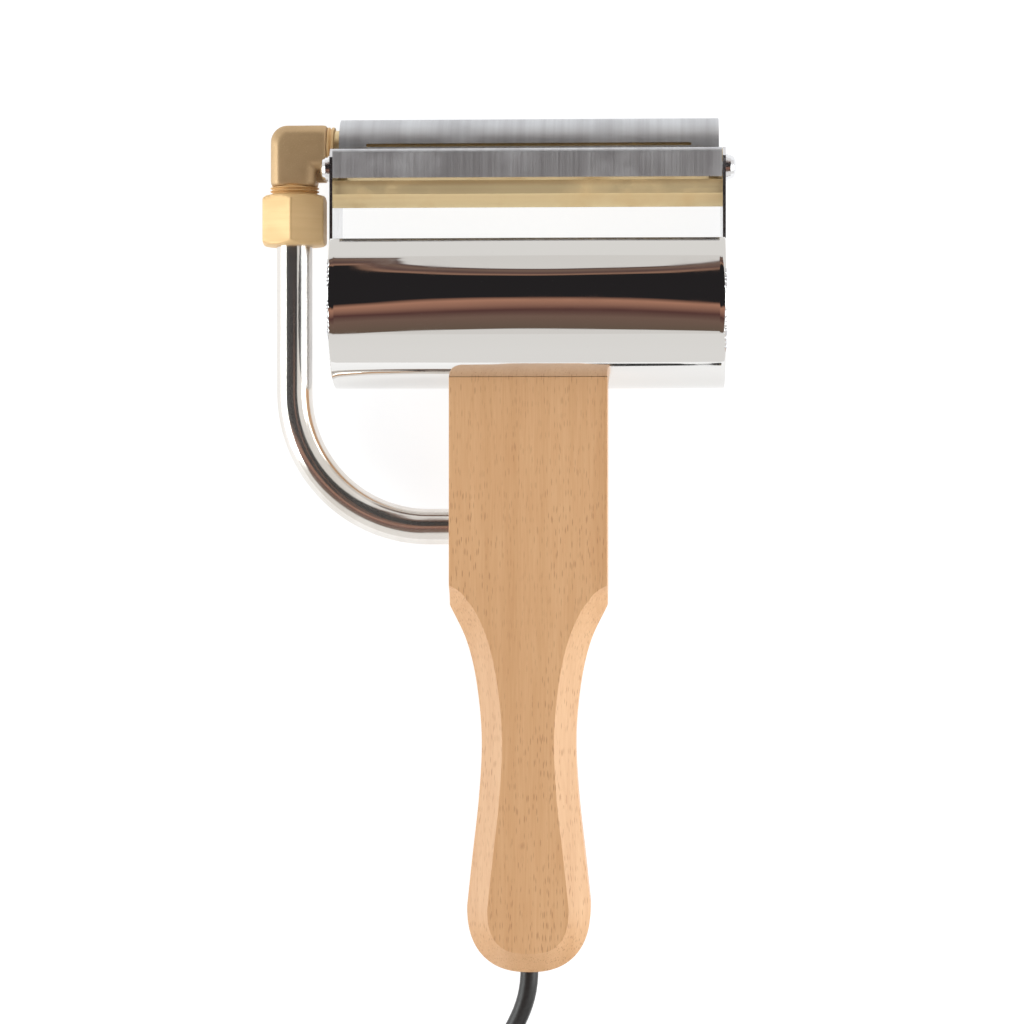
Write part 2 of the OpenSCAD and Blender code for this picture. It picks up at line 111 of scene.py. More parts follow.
class MetalSettings(bpy.types.PropertyGroup):
    """The metals"""

    mirror: bpy.props.FloatVectorProperty(name="Polished steel", description="Colour of the hood",
                                          subtype="COLOR", default=(0.82, 0.81, 0.8), size=3)
    brushed: bpy.props.FloatVectorProperty(name="Brushed steel", description="Depth plate colour",
                                           subtype="COLOR", default=(0.62, 0.63, 0.65), size=3)
    forged: bpy.props.FloatVectorProperty(name="Forged brass", description="Colour of the elbow",
                                          subtype="COLOR", default=(0.58, 0.4, 0.22), size=3)
    machined: bpy.props.FloatVectorProperty(name="Turned brass", description="Colour of the nut",
                                            subtype="COLOR", default=(0.84, 0.59, 0.3), size=3)


# ---- mesh tools ----

def mesh_piece(name, points, faces, paint):
    """A piece from a point array and a face list, smooth, with its faces turned outwards.
    The sign of the sum of p0 . (p1 x p2) over a fan of each face says which way they point."""
    points = np.asarray(points, dtype=float).reshape(-1, 3)
    faces = [tuple(int(i) for i in f) for f in faces]
    fan = np.array([(f[0], f[k], f[k + 1]) for f in faces for k in range(1, len(f) - 1)])
    corners = points[fan] - points.mean(axis=0)
    volume = np.einsum("ij,ij->i", corners[:, 0], np.cross(corners[:, 1], corners[:, 2])).sum()
    if volume < 0:
        faces = [f[::-1] for f in faces]
    mesh = bpy.data.meshes.new(name)
    mesh.from_pydata(points.tolist(), [], faces)
    mesh.polygons.foreach_set("use_smooth", [True] * len(faces))
    mesh.materials.append(paint)
    mesh.set_sharp_from_angle(angle=math.radians(38))
    mesh.update()
    piece = bpy.data.objects.new(name, mesh)
    bpy.context.scene.collection.objects.link(piece)
    return piece


def loft(rings, cap=True):
    """Points and faces of closed rings joined in order: quad (i, k), (i, k+1), (i+1, k+1),
    (i+1, k). A fan from each end ring's mean point closes the ends."""
    n, m = rings.shape[:2]
    i, k = np.meshgrid(np.arange(n - 1), np.arange(m), indexing="ij")
    j = (k + 1) % m
    quads = np.stack([i * m + k, i * m + j, (i + 1) * m + j, (i + 1) * m + k], axis=-1).reshape(-1, 4)
    points = rings.reshape(-1, 3)
    faces = quads.tolist()
    if cap:
        ends = np.array([rings[0].mean(axis=0), rings[-1].mean(axis=0)])
        k = np.arange(m)
        j = (k + 1) % m
        first = np.stack([np.full(m, n * m), j, k], axis=-1)
        last = np.stack([np.full(m, n * m + 1), (n - 1) * m + k, (n - 1) * m + j], axis=-1)
        points = np.concatenate([points, ends])
        faces += first.tolist() + last.tolist()
    return points, faces


def spline(route, spacing):
    """A route of points in millimetres as a Catmull-Rom curve in metres, resampled at a spacing:
    c(t) = (2q + (r-p)t + (2p-5q+4r-s)t^2 + (3q-p-3r+s)t^3) / 2."""
    way = np.array(route, dtype=float) * MM
    way = np.concatenate([[2 * way[0] - way[1]], way, [2 * way[-1] - way[-2]]])
    t = np.linspace(0, 1, 12, endpoint=False)[:, None]
    parts = [0.5 * (2 * q + (r - p) * t + (2 * p - 5 * q + 4 * r - s) * t**2
                    + (3 * q - p - 3 * r + s) * t**3)
             for p, q, r, s in zip(way[:-3], way[1:-2], way[2:-1], way[3:])]
    curve = np.concatenate(parts + [way[-2:-1]])
    return resampled(curve, spacing)


def resampled(curve, spacing):
    """The same curve with points evenly spaced along its length."""
    steps = np.linalg.norm(np.diff(curve, axis=0), axis=1)
    along = np.concatenate([[0], np.cumsum(steps)])
    count = max(int(along[-1] / spacing), 2)
    wanted = np.linspace(0, along[-1], count + 1)
    return np.stack([np.interp(wanted, along, curve[:, axis]) for axis in range(3)], axis=-1)


def swept(path, profile):
    """Rings of a profile (a, b) carried along a path: path + a side + b up, where side is the
    path's direction crossed with Z and up is side crossed with the direction."""
    ahead = np.gradient(path, axis=0)
    ahead /= np.linalg.norm(ahead, axis=1)[:, None]
    side = np.cross(ahead, [0, 0, 1])
    side /= np.linalg.norm(side, axis=1)[:, None]
    up = np.cross(side, ahead)
    profile = np.asarray(profile)
    if profile.ndim == 2:
        profile = np.repeat(profile[None], len(path), axis=0)
    return path[:, None] + profile[..., :1] * side[:, None] + profile[..., 1:] * up[:, None]


def round_profile(radius, count):
    """Points of a circle, radius (cos a, sin a)."""
    a = np.linspace(0, 2 * math.pi, count, endpoint=False)
    return radius * np.stack([np.cos(a), np.sin(a)], axis=-1)


def joined(points, faces, more, extra):
    """Two meshes' points and faces as one."""
    return np.concatenate([points, more]), faces + [[i + len(points) for i in f] for f in extra]


def squared(value, power):
    """A cosine or sine with its size raised to a power, sign(v) |v|^power: under 1 the power
    turns a circle into a square with round corners."""
    return np.sign(value) * np.abs(value) ** power


def eased(t):
    """The smooth step t^2 (3 - 2t)."""
    return t * t * (3 - 2 * t)


def turned(profile, axis, centre, count=96):
    """Rings of a profile (along, radius) turned about an axis "X" or "Y" through a centre."""
    a = np.linspace(0, 2 * math.pi, count, endpoint=False)[None]
    along = np.array([p[0] for p in profile])[:, None] + 0 * a
    radius = np.array([p[1] for p in profile])[:, None]
    across, up = radius * np.cos(a), radius * np.sin(a)
    order = [along, across, up] if axis == "X" else [across, along, up]
    return np.stack(order, axis=-1) * MM + np.asarray(centre)


# ---- shader groups ----

def new_group(name, inputs, outputs):
    """An empty shader group with named sockets, (name, type, default)."""
    group = bpy.data.node_groups.new(name, "ShaderNodeTree")
    for label, kind, default in inputs:
        socket = group.interface.new_socket(label, in_out="INPUT", socket_type=kind)
        socket.default_value = default
    for label, kind in outputs:
        group.interface.new_socket(label, in_out="OUTPUT", socket_type=kind)
    return group, group.nodes.new("NodeGroupInput"), group.nodes.new("NodeGroupOutput")


def add(tree, kind, links=(), **values):
    """A node with its properties or sockets set by name, and links (socket, source)."""
    node = tree.nodes.new(kind)
    for key, value in values.items():
        if hasattr(node, key):
            setattr(node, key, value)
        else:
            node.inputs[key.replace("_", " ")].default_value = value
    for socket, source in links:
        tree.links.new(source, node.inputs[socket])
    return node


def maths(tree, operation, *terms):
    """A Math node whose terms are numbers or sockets."""
    node = tree.nodes.new("ShaderNodeMath")
    node.operation = operation
    for i, term in enumerate(terms):
        if isinstance(term, bpy.types.NodeSocket):
            tree.links.new(term, node.inputs[i])
        else:
            node.inputs[i].default_value = term
    return node.outputs[0]


def ranged(tree, value, low, high, to_low=0.0, to_high=1.0):
    """A clamped Map Range from low..high to to_low..to_high."""
    node = tree.nodes.new("ShaderNodeMapRange")
    tree.links.new(value, node.inputs[0])
    for i, number in enumerate((low, high, to_low, to_high), start=1):
        node.inputs[i].default_value = number
    return node.outputs[0]


def blended(tree, factor, first, second, mode="MIX"):
    """A colour Mix node; first and second are colours or sockets."""
    node = tree.nodes.new("ShaderNodeMix")
    node.data_type = "RGBA"
    node.blend_type = mode
    for i, term in ((0, factor), (6, first), (7, second)):
        if isinstance(term, bpy.types.NodeSocket):
            tree.links.new(term, node.inputs[i])
        else:
            node.inputs[i].default_value = term if i == 0 else (*term[:3], 1)
    return node.outputs[2]


def stretched(tree, source, scale):
    """Coordinates scaled by a different amount on each axis."""
    node = tree.nodes.new("ShaderNodeMapping")
    tree.links.new(source, node.inputs["Vector"])
    node.inputs["Scale"].default_value = scale
    return node.outputs[0]


def noise(tree, vector, scale, detail=3.0, rough=0.5):
    """A Noise texture's value."""
    node = tree.nodes.new("ShaderNodeTexNoise")
    tree.links.new(vector, node.inputs["Vector"])
    node.inputs["Scale"].default_value = scale
    node.inputs["Detail"].default_value = detail
    node.inputs["Roughness"].default_value = rough
    return node.outputs[0]


def brushed_group():
    """Fine scratches stretched along one axis, and their broad tone."""
    group, start, end = new_group("BrushMarks", [("Vector", "NodeSocketVector", (0, 0, 0))],
                                  [("Marks", "NodeSocketFloat"), ("Tone", "NodeSocketFloat")])
    fine = noise(group, start.outputs["Vector"], 1.0, 4.0, 0.7)
    broad = noise(group, start.outputs["Vector"], 0.12, 2.0, 0.5)
    group.links.new(ranged(group, fine, 0.3, 0.7), end.inputs["Marks"])
    group.links.new(ranged(group, broad, 0.3, 0.7), end.inputs["Tone"])
    return group


def handling_group():
    """Smudges, specks and wandering tone that any handled surface has."""
    group, start, end = new_group(
        "HandlingMarks", [("Vector", "NodeSocketVector", (0, 0, 0)),
                          ("Size", "NodeSocketFloat", 60.0)],
        [("Smudge", "NodeSocketFloat"), ("Speck", "NodeSocketFloat")])
    cloud = add(group, "ShaderNodeTexNoise", [("Vector", start.outputs["Vector"]),
                                              ("Scale", start.outputs["Size"])], Detail=5.0)
    dots = add(group, "ShaderNodeTexVoronoi", [("Vector", start.outputs["Vector"])], Scale=420.0)
    group.links.new(ranged(group, cloud.outputs[0], 0.48, 0.72), end.inputs["Smudge"])
    group.links.new(ranged(group, dots.outputs["Distance"], 0.12, 0.04), end.inputs["Speck"])
    return group


def beech_group():
    """Beech: wandering rings seen lengthwise, short dark flecks, and pores."""
    group, start, end = new_group(
        "BeechGrain", [("Vector", "NodeSocketVector", (0, 0, 0)),
                       ("Light", "NodeSocketColor", (1, 1, 1, 1)),
                       ("Dark", "NodeSocketColor", (1, 1, 1, 1)),
                       ("Fleck", "NodeSocketColor", (1, 1, 1, 1))],
        [("Colour", "NodeSocketColor"), ("Height", "NodeSocketFloat")])
    place = start.outputs["Vector"]
    rings = noise(group, stretched(group, place, (130, 7, 60)), 1.0, 3.0, 0.55)
    fibre = noise(group, stretched(group, place, (1800, 60, 1800)), 1.0, 2.0, 0.6)
    cells = add(group, "ShaderNodeTexVoronoi",
                [("Vector", stretched(group, place, (1900, 260, 1900)))], Scale=1.0, Randomness=1.0)
    chosen = ranged(group, cells.outputs["Color"], 0.42, 0.52)
    fleck = maths(group, "MULTIPLY", ranged(group, cells.outputs["Distance"], 0.4, 0.2), chosen)
    patch = noise(group, stretched(group, place, (45, 18, 45)), 1.0, 2.0, 0.5)
    fleck = maths(group, "MULTIPLY", fleck, ranged(group, patch, 0.35, 0.6, 0.35, 1.0))
    wood = blended(group, ranged(group, rings, 0.32, 0.68), start.outputs["Light"],
                   start.outputs["Dark"])
    wood = blended(group, ranged(group, fibre, 0.35, 0.75, 0.0, 0.22), wood, start.outputs["Dark"],
                   "MULTIPLY")
    wood = blended(group, maths(group, "MULTIPLY", fleck, 0.6), wood, start.outputs["Fleck"])
    height = maths(group, "SUBTRACT", maths(group, "MULTIPLY", fibre, 0.4), fleck)
    group.links.new(wood, end.inputs["Colour"])
    group.links.new(height, end.inputs["Height"])
    return group


def material(name, metallic=0.0, **plain):
    """A Principled material and its tree; plain sets sockets by name. The name ends in finish,
    because the CAD's own materials already have the slots' names."""
    made = bpy.data.materials.new(name + "_finish")
    made.use_nodes = True
    tree = made.node_tree
    shader = tree.nodes["Principled BSDF"]
    shader.inputs["Metallic"].default_value = metallic
    for key, value in plain.items():
        shader.inputs[key.replace("_", " ")].default_value = value
    place = tree.nodes.new("ShaderNodeTexCoord").outputs["Object"]
    return made, tree, shader, place


def bump(tree, shader, height, strength, distance):
    """A Bump node from a height to the shader's Normal."""
    node = add(tree, "ShaderNodeBump", [("Height", height)], Strength=strength, Distance=distance)
    tree.links.new(node.outputs[0], shader.inputs["Normal"])


def use_group(tree, group, vector):
    """A group node fed with coordinates."""
    node = tree.nodes.new("ShaderNodeGroup")
    node.node_tree = group
    tree.links.new(vector, node.inputs["Vector"])
    return node


def make_materials(metals, wood, cord):
    """Every material of the tool, by slot name."""
    brush, handling, beech = brushed_group(), handling_group(), beech_group()
    made = {}

    def metal(slot, colour, dark, scale, rough, depth, smudge=0.12, metallic=1.0):
        """Metal with brush marks stretched by scale, tone between two colours and smudges."""
        result, tree, shader, place = material(slot, metallic)
        marks = use_group(tree, brush, stretched(tree, place, scale))
        hands = use_group(tree, handling, place)
        tone = blended(tree, marks.outputs["Tone"], colour, dark)
        tone = blended(tree, maths(tree, "MULTIPLY", hands.outputs["Smudge"], smudge), tone, dark)
        tree.links.new(tone, shader.inputs["Base Color"])
        grooves = ranged(tree, marks.outputs["Marks"], 0, 1, rough * 0.8, rough * 1.2)
        smears = maths(tree, "MULTIPLY", hands.outputs["Smudge"], smudge * 0.6)
        tree.links.new(maths(tree, "ADD", grooves, smears), shader.inputs["Roughness"])
        bump(tree, shader, marks.outputs["Marks"], 0.4, depth)
        made[slot] = result

    metal("mirror_steel", metals.mirror, (0.76, 0.75, 0.73), (6, 300, 300), 0.025, 0.000001, 0.1)
    metal("plate_steel", (0.78, 0.78, 0.8), (0.68, 0.68, 0.7), (60, 900, 900), 0.18, 0.000006)
    metal("brushed_sheet", metals.brushed, (0.5, 0.5, 0.52), (2600, 20, 20), 0.4, 0.00003,
          0.25, 0.85)
    metal("screw_steel", (0.85, 0.85, 0.86), (0.72, 0.72, 0.74), (500, 500, 500), 0.16, 0.000006)
    metal("tube_steel", (0.86, 0.83, 0.79), (0.74, 0.7, 0.65), (700, 30, 700), 0.13, 0.000003,
          0.1, 0.93)
    metal("machined_brass", metals.machined, (0.74, 0.5, 0.24), (60, 2200, 60), 0.5, 0.00002,
          0.2, 0.35)
    metal("plug_metal", (0.83, 0.7, 0.42), (0.7, 0.56, 0.3), (500, 40, 500), 0.2, 0.000005)

    metal("blade_brass", (1.0, 0.83, 0.5), (0.8, 0.58, 0.3), (25, 1800, 1800), 0.38, 0.00001,
          0.7, 0.6)

    made["forged_brass"], tree, shader, place = material("forged_brass", 0.55)
    grit = noise(tree, place, 2600.0, 3.0, 0.6)
    cloud = noise(tree, place, 90.0, 4.0, 0.6)
    tone = blended(tree, ranged(tree, cloud, 0.3, 0.7), metals.forged, (0.5, 0.34, 0.18))
    tree.links.new(blended(tree, ranged(tree, grit, 0.55, 0.75, 0.0, 0.5), tone, (0.78, 0.6, 0.36)),
                   shader.inputs["Base Color"])
    tree.links.new(ranged(tree, grit, 0.3, 0.7, 0.42, 0.58), shader.inputs["Roughness"])
    bump(tree, shader, grit, 0.6, 0.00008)

    made["beech"], tree, shader, place = material("beech", IOR=1.5)
    grain = use_group(tree, beech, place)
    for label, colour in (("Light", wood.light), ("Dark", wood.dark), ("Fleck", wood.fleck)):
        grain.inputs[label].default_value = (*colour, 1)
    tree.links.new(grain.outputs["Colour"], shader.inputs["Base Color"])
    tree.links.new(ranged(tree, grain.outputs["Height"], -0.6, 0.4, 0.55, 0.36),
                   shader.inputs["Roughness"])
    bump(tree, shader, grain.outputs["Height"], 0.35, 0.00006)

    def dull(slot, colour, rough, grain_scale, depth):
        """Rubber, plastic, ceramic or cloth: a fine grain with smudges."""
        result, tree, shader, place = material(slot)
        fine = noise(tree, place, grain_scale, 3.0, 0.6)
        hands = use_group(tree, handling, place)
        pale = tuple(min(1.0, c * 1.35 + 0.006) for c in colour)
        tree.links.new(blended(tree, ranged(tree, fine, 0.3, 0.7), colour, pale),
                       shader.inputs["Base Color"])
        finish = maths(tree, "ADD", ranged(tree, fine, 0.3, 0.7, rough - 0.06, rough + 0.06),
                       maths(tree, "MULTIPLY", hands.outputs["Smudge"], 0.1))
        tree.links.new(finish, shader.inputs["Roughness"])
        bump(tree, shader, fine, 0.3, depth)
        made[slot] = result

    dull("cord_rubber", tuple(cord.colour), 0.42, 900.0, 0.00003)
    dull("plug_plastic", (0.022, 0.022, 0.023), 0.4, 1500.0, 0.00003)
    dull("tie_fabric", (0.04, 0.04, 0.042), 0.85, 2500.0, 0.0002)
    dull("ceramic", (0.82, 0.8, 0.74), 0.5, 1200.0, 0.00003)
    dull("wire_brown", (0.2, 0.09, 0.04), 0.45, 900.0, 0.00001)
    dull("wire_blue", (0.04, 0.1, 0.4), 0.45, 900.0, 0.00001)
    dull("wire_green", (0.25, 0.42, 0.05), 0.45, 900.0, 0.00001)
    return made


def slot_material(slot):
    """A material made by the materials operator."""
    return bpy.data.materials[slot + "_finish"]


def painted_reflection_ceiling():
    """The glowing ceiling card over the studio, painted with the bands that the hood shows as its
    reflection (painted reflection): a black middle between brown borders, whose edges bow with v' = v
    + q (0.17 - 0.35 max(v, 0)), q = min(((u + 0.05) / 0.15)^2, 1.6), and waver slowly."""
    paint, tree, shader, place = material("ceiling", Roughness=0.8)
    axes = add(tree, "ShaderNodeSeparateXYZ", [("Vector", place)])
    u, v = axes.outputs["X"], axes.outputs["Y"]
    aside = maths(tree, "DIVIDE", maths(tree, "ADD", u, 0.05), 0.15)
    bow = maths(tree, "MINIMUM", maths(tree, "MULTIPLY", aside, aside), 1.6)
    ahead = maths(tree, "MAXIMUM", v, 0.0)
    slope = maths(tree, "SUBTRACT", 0.17, maths(tree, "MULTIPLY", ahead, 0.35))
    bowed = maths(tree, "ADD", v, maths(tree, "MULTIPLY", bow, slope))
    waves = noise(tree, stretched(tree, place, (5, 1.6, 1)), 1.0, 2.0, 0.5)
    waver = maths(tree, "MULTIPLY", maths(tree, "SUBTRACT", waves, 0.5), 0.22)
    bowed = maths(tree, "ADD", bowed, waver)
    ramp = tree.nodes.new("ShaderNodeValToRGB")
    first, last = -1.1, 1.5
    tree.links.new(ranged(tree, bowed, first, last), ramp.inputs[0])
    light, black = (0.74, 0.72, 0.7), (0.02, 0.018, 0.019)
    stops = [(-1.0, light), (-0.96, (0.14, 0.1, 0.074)), (-0.5, (0.18, 0.112, 0.087)),
             (-0.28, (0.1, 0.045, 0.04)), (-0.12, (0.28, 0.14, 0.1)), (0.03, (0.42, 0.21, 0.14)),
             (0.09, (0.2, 0.1, 0.07)), (0.13, black), (0.9, black),
             (0.94, (0.34, 0.19, 0.13)), (1.02, (0.11, 0.065, 0.06)), (1.14, (0.2, 0.13, 0.1)),
             (1.22, (0.1, 0.06, 0.055)), (1.26, light)]
    elements = ramp.color_ramp.elements
    elements[0].position, elements[1].position = 0, 1
    elements[0].color = elements[1].color = (*light, 1)
    for stop, colour in stops:
        elements.new((stop - first) / (last - first)).color = (*colour, 1)
    # Painted reflection: the card glows in these painted bands, and the hood's dark and brown
    # reflections are these colours
    tree.links.new(ramp.outputs[0], shader.inputs["Emission Color"])
    shader.inputs["Emission Strength"].default_value = 1.08
    shader.inputs["Base Color"].default_value = (0, 0, 0, 1)
    shader.inputs["Specular IOR Level"].default_value = 0
    return paint


# ---- operators ----

class PLANE_OT_camera(bpy.types.Operator):
    """Camera nearly straight above the tool, a little to its right"""

    bl_idname = "plane.camera"
    bl_label = "Camera"

    def execute(self, context):
        settings = context.scene.plane_camera
        eye = Vector((settings.side, 0.0049, settings.height))
        target = Vector((-0.0049, 0.0049, 0.036))
        back = (eye - target).normalized()
        right = Vector((0, 1, 0)).cross(back).normalized()
        up = back.cross(right)
        turn = Matrix((right, up, back)).transposed()
        data = bpy.data.cameras.new("camera")
        data.lens = settings.lens
        data.clip_start = 0.01
        camera = bpy.data.objects.new("camera", data)
        camera.matrix_world = Matrix.Translation(eye) @ turn.to_4x4()
        context.scene.collection.objects.link(camera)
        context.scene.camera = camera
        return {"FINISHED"}


class PLANE_OT_materials(bpy.types.Operator):
    """All materials, and each CAD node's own"""

    bl_idname = "plane.materials"
    bl_label = "Materials"

    def execute(self, context):
        scene = context.scene
        made = make_materials(scene.plane_metal, scene.plane_wood, scene.plane_cord)
        for part in frame["record"]["subparts"]:
            node = frame["nodes"][part["node"]]
            for slot in node.material_slots:
                slot.material = made[part["material_slot"]]
        return {"FINISHED"}


class PLANE_OT_cord(bpy.types.Operator):
    """The mains cord: out of the handle, down to the surface, round its coil and to the plug"""

    bl_idname = "plane.cord"
    bl_label = "Cord"

    def execute(self, context):
        settings = context.scene.plane_cord
        step = settings.turn_step
        centre = np.array([0.0165, -0.230])
        low = settings.diameter / 2
        outer = 0.041
        # Each turn's radius and height; the change to it takes the first fifth of the turn
        full_turns, extra_turn, per_turn, change = 7, 0.25, 48, 0.2
        radii = [outer, outer - step, outer - 2 * step, outer - 2 * step, outer - step, outer,
                 outer - step, outer]
        heights = [low] * 3 + [low + step] * 3 + [low + 2 * step] * 2
        last_turn = full_turns + extra_turn
        turns = np.linspace(0, last_turn, int(last_turn * per_turn) + 1)[1:-1]
        whole = np.minimum(turns.astype(int), full_turns)
        ease = eased(np.clip((turns - whole) / change, 0, 1))
        before = np.maximum(whole - 1, 0)
        radius = np.array(radii)[before] * (1 - ease) + np.array(radii)[whole] * ease
        height = np.array(heights)[before] * (1 - ease) + np.array(heights)[whole] * ease
        angle = math.pi + 2 * math.pi * turns
        coil = np.stack([centre[0] + radius * np.cos(angle), centre[1] + radius * np.sin(angle),
                         height], axis=-1)
        lead, tail = spline(LEAD_ROUTE, 0.002), spline(TAIL_ROUTE, 0.002)
        path = resampled(np.concatenate([lead, coil, tail]), 0.0025)
        points, faces = loft(swept(path, round_profile(settings.diameter / 2, 20)))
        piece = mesh_piece("mains_cord", points, faces, slot_material("cord_rubber"))
        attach(piece, "head")
        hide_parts("power_cord_lead", "power_cord_coil", "power_cord_tail")
        length = float(np.linalg.norm(np.diff(path, axis=0), axis=1).sum())
        if not 1.6 < length < 2.0:
            raise RuntimeError("the cord's length has left its range")
        return {"FINISHED"}


class PLANE_OT_plug(bpy.types.Operator):
    """Moulded plug with a ribbed strain relief, and the tie round the coil"""

    bl_idname = "plane.plug"
    bl_label = "Plug and tie"

    def execute(self, context):
        centre_x, neck_r, half_wide, half_high = 0.078, 0.0045, 0.0125, 0.0114
        groove, grooves = 0.0006, 5
        a = np.linspace(0, 2 * math.pi, 96, endpoint=False)
        low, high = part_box("plug_body")
        along = np.linspace(0, 1, 121)
        y = low[1] + along * (high[1] - low[1])
        neck = 14 / 34
        swell = eased(np.clip((along - neck * 0.85) / 0.14, 0, 1))
        ribs = groove * (np.sin(along / neck * 2 * math.pi * grooves) > 0) * (along < neck * 0.8)
        half_w = (neck_r - ribs) * (1 - swell) + half_wide * swell
        half_h = (neck_r - ribs) * (1 - swell) + half_high * swell
        end = np.sqrt(np.clip(1 - np.clip((along - 0.95) / 0.05, 0, 1) ** 2 * 0.25, 0, 1))
        power = (1 - 0.62 * swell)[:, None]
        mid_z = 0.006 * (1 - swell) + 0.0115 * swell
        x = centre_x + (half_w * end)[:, None] * squared(np.cos(a)[None], power)
        z = mid_z[:, None] + (half_h * end)[:, None] * squared(np.sin(a)[None], power)
        rings = np.stack([x, y[:, None] + 0 * x, z], axis=-1)
        points, faces = loft(rings)
        plug = mesh_piece("moulded_plug", points, faces, slot_material("plug_plastic"))
        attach(plug, "head")
        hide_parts("plug_body")

        low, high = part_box("coil_tie")
        mid = (np.array(low) + np.array(high)) / 2
        half = (np.array(high) - np.array(low)) / 2
        a = np.linspace(0, 2 * math.pi, 65)[:-1]
        loop_y = mid[1] + half[1] * squared(np.cos(a), 0.35)
        loop_z = mid[2] + half[2] * squared(np.sin(a), 0.35)
        wall, wide = 0.0009, half[0]
        squeeze_y, squeeze_z = 1 - wall / half[1], 1 - wall / half[2]
        corners = [(-wide, 1, 1), (wide, 1, 1), (wide, squeeze_y, squeeze_z),
                   (-wide, squeeze_y, squeeze_z)]
        rings = np.stack([np.stack([mid[0] + dx + 0 * a, mid[1] + (loop_y - mid[1]) * ky,
                                    mid[2] + (loop_z - mid[2]) * kz], axis=-1)
                          for dx, ky, kz in corners])
        points, faces = loft(rings, cap=False)
        m = len(a)
        faces += [(3 * m + k, 3 * m + (k + 1) % m, (k + 1) % m, k) for k in range(m)]
        tie = mesh_piece("hook_and_loop_tie", points, faces, slot_material("tie_fabric"))
        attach(tie, "head")
        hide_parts("coil_tie")
        return {"FINISHED"}


def grip_side():
    """Half widths of the handle at distances along it, top to end, in millimetres: a straight
    block, a spline through the waist, and the superellipse x = r cos(a)^(2/p), y = -l sin(a)^(2/p)."""
    stations = [(26.2, -26, 0), (20.6, -38, 0), (17.3, -52, 0), (15.65, -70, 0), (16.5, -89, 0),
                (18.8, -110, 0), (20.5, -126, 0)]
    waist = spline(stations, 0.0011)[:-1, :2] / MM
    top = np.linspace(49, -26, 70, endpoint=False)
    block = np.stack([np.full(len(top), 26.2), top], axis=-1)
    a = np.linspace(0, math.pi / 2, 48)
    bulb = np.stack([20.5 * np.cos(a) ** (2 / 2.4), -126 - 22 * np.sin(a) ** (2 / 2.4)], axis=-1)
    bulb[-1, 0] = 0
    return np.concatenate([block, waist, bulb])


class PLANE_OT_handle(bpy.types.Operator):
    """Beech handle: a block that turns into a waisted grip with broad run-out chamfers"""

    bl_idname = "plane.handle"
    bl_label = "Handle"

    def execute(self, context):
        half_thick, chamfer, chamfer_end, run_out = 14, 6.7, -19.5, 3
        edge = context.scene.plane_wood.edge / MM
        side = grip_side()
        outline = np.concatenate([side, (side * [-1, 1])[-2::-1]])
        ahead = np.gradient(outline, axis=0)
        ahead /= np.linalg.norm(ahead, axis=1)[:, None]
        inward = np.stack([ahead[:, 1], -ahead[:, 0]], axis=-1)
        # The chamfer cutter rolls round the block's corner, so its direction turns gradually
        reach = np.arange(-7, 8) / 3.5
        weight = np.exp(-reach**2)
        padded = np.pad(inward, ((7, 7), (0, 0)), mode="edge")
        inward = sum(w * padded[k:k + len(inward)] for k, w in enumerate(weight))
        inward /= np.linalg.norm(inward, axis=1)[:, None]
        past = outline[:, 1] - chamfer_end
        depth = np.where(past > 0, 0, chamfer * (1 - np.exp(past / run_out)))
        # Section from the middle of the side to the front face: (inset, height over the middle)
        steps = np.linspace(0, 1, 7)
        parts = []
        for t in steps:
            parts.append((0 * depth, (half_thick - depth - edge) * t))
        for t in np.linspace(0, math.pi / 4, 5)[1:]:
            parts.append((0 * depth + edge * (1 - np.cos(t)),
                          half_thick - depth - edge + edge * np.sin(t)))
        for t in steps[1:]:
            parts.append((edge * 0.29 + (depth + 0.3 * edge) * t,
                          half_thick - depth - 0.29 * edge + (depth - 0.02 * edge) * t))
        inset = np.array([p[0] for p in parts])
        height = np.minimum(np.array([p[1] for p in parts]), half_thick)
        rows = outline[None] + inset[..., None] * inward[None]
        upper = np.concatenate([rows, height[..., None]], axis=-1)
        last = upper[-1]
        # The front face closes on the centre line in a few rows
        middle = last * [0, 1, 1]
        face = np.stack([last + (middle - last) * t for t in np.linspace(0, 1, 9)[1:]])
        upper = np.concatenate([upper, face])
        lower = upper[:0:-1] * [1, 1, -1]
        grid = np.concatenate([lower, upper]) + [0, 0, half_thick]
        grid *= MM
        # The top end is coped to the hood
        cope_r = HOOD_R + 0.00005
        cope = HOOD_Y - np.sqrt(np.maximum(cope_r**2 - (grid[..., 2] - AXIS_Z) ** 2, 0))
        for end in (0, -1):
            grid[:, end, 1] = cope[:, end]
        n, m = grid.shape[:2]
        i, k = np.meshgrid(np.arange(n - 1), np.arange(m - 1), indexing="ij")
        faces = np.stack([i * m + k, i * m + k + 1, (i + 1) * m + k + 1, (i + 1) * m + k],
                         axis=-1).reshape(-1, 4).tolist()
        faces += [(i * m, (i + 1) * m, (i + 2) * m - 1, (i + 1) * m - 1) for i in range(n - 1)]
        piece = mesh_piece("beech_handle", grid, faces, slot_material("beech"))
        weld(piece, 0.00001)
        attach(piece, "head")
        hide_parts("handle")
        return {"FINISHED"}


def weld(piece, distance):
    """Merges doubled points and turns the faces outwards, on a closed piece."""
    work = bmesh.new()
    work.from_mesh(piece.data)
    bmesh.ops.remove_doubles(work, verts=work.verts, dist=distance)
    bmesh.ops.recalc_face_normals(work, faces=work.faces)
    work.to_mesh(piece.data)
    work.free()


